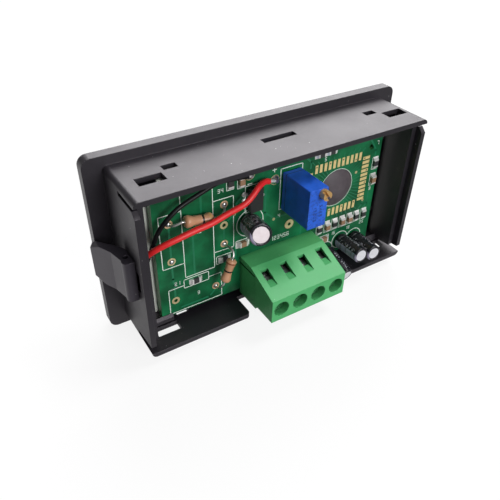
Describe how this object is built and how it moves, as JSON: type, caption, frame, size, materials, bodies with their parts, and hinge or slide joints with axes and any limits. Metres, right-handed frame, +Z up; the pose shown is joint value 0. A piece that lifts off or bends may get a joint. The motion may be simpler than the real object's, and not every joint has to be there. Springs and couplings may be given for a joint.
{
  "type": "digital panel meter",
  "caption": "Snap-in digital panel meter seen from its open rear: bezel and case, display stack, circuit board, trimmer, spring-clamp terminal block and panel clips.",
  "frame": {"origin": "centre of the bezel's rear seating face, which lies on the panel", "axes": "+Y to the rear, out of the case; +Z up; +X to the left seen from the rear"},
  "size_m": [0.082, 0.0254, 0.043],
  "materials": {
    "black_plastic": "fine spark-eroded satin",
    "clip_plastic": "satin",
    "clear_window": "polished acrylic",
    "display_glass": "polished",
    "elastomer": "matt",
    "white_plastic": "satin",
    "board_laminate": "glossy solder resist",
    "gold_plate": "gold plated",
    "tinned_copper": "tinned",
    "tinned_wire": "tinned",
    "spring_steel": "stamped",
    "solder": "bright",
    "epoxy_black": "satin resin",
    "blue_plastic": "semi-gloss",
    "brass": "turned",
    "green_plastic": "semi-gloss",
    "capacitor_sleeve": "glossy sleeve",
    "resistor_lacquer": "lacquered",
    "chip_black": "glazed",
    "chip_brown": "fired",
    "red_insulation": "satin",
    "black_insulation": "satin"
  },
  "bodies": {
    "meter": {"case": "black_plastic", "front_window": "clear_window", "lcd_glass": "display_glass", "zebra_strip_upper": "elastomer", "zebra_strip_lower": "elastomer", "backlight_panel": "white_plastic", "pcb": "board_laminate", "gold_pads": "gold_plate", "solder_pads": "tinned_copper", "chip_cover": "epoxy_black", "trimmer_body": "blue_plastic", "trimmer_pins": "tinned_wire", "terminal_housing": "green_plastic", "terminal_contacts": "tinned_copper", "capacitor_large": "capacitor_sleeve", "capacitor_small_1": "capacitor_sleeve", "capacitor_small_2": "capacitor_sleeve", "capacitor_small_3": "capacitor_sleeve", "capacitor_leads": "tinned_wire", "resistor_upper": "resistor_lacquer", "resistor_lower": "resistor_lacquer", "regulator": "epoxy_black", "chip_resistors": "chip_black", "chip_capacitors": "chip_brown", "chip_ends": "tinned_copper", "solder_joints": "solder", "wire_red": "red_insulation", "wire_black": "black_insulation"},
    "trimmer_screw": {"trimmer_screw": "brass"},
    "clip_left": {"mounting_clip_left": "clip_plastic"},
    "clip_right": {"mounting_clip_right": "clip_plastic"},
    "spring_1": {"clamp_spring_1": "spring_steel"},
    "spring_2": {"clamp_spring_2": "spring_steel"},
    "spring_3": {"clamp_spring_3": "spring_steel"},
    "spring_4": {"clamp_spring_4": "spring_steel"}
  },
  "joints": [
    {"name": "trimmer_screw_turn", "type": "hinge", "parent": "meter", "child": "trimmer_screw", "pos_m": [-0.00432, 0.0184, 0.01086], "axis": [0, 1, 0], "continuous": true},
    {"name": "clip_left_slide", "type": "slide", "parent": "meter", "child": "clip_left", "axis": [0, 1, 0], "range_m": [-0.0013, 0.003]},
    {"name": "clip_right_slide", "type": "slide", "parent": "meter", "child": "clip_right", "axis": [0, 1, 0], "range_m": [-0.0013, 0.003]},
    {"name": "spring_1_press", "type": "hinge", "parent": "meter", "child": "spring_1", "pos_m": [0.00735, 0.0122, -0.0099], "axis": [-1, 0, 0], "range_deg": [0, 18], "stiffness_Nm_per_rad": 0.2},
    {"name": "spring_2_press", "type": "hinge", "parent": "meter", "child": "spring_2", "pos_m": [0.00227, 0.0122, -0.0099], "axis": [-1, 0, 0], "range_deg": [0, 18], "stiffness_Nm_per_rad": 0.2},
    {"name": "spring_3_press", "type": "hinge", "parent": "meter", "child": "spring_3", "pos_m": [-0.00281, 0.0122, -0.0099], "axis": [-1, 0, 0], "range_deg": [0, 18], "stiffness_Nm_per_rad": 0.2},
    {"name": "spring_4_press", "type": "hinge", "parent": "meter", "child": "spring_4", "pos_m": [-0.00789, 0.0122, -0.0099], "axis": [-1, 0, 0], "range_deg": [0, 18], "stiffness_Nm_per_rad": 0.2}
  ]
}
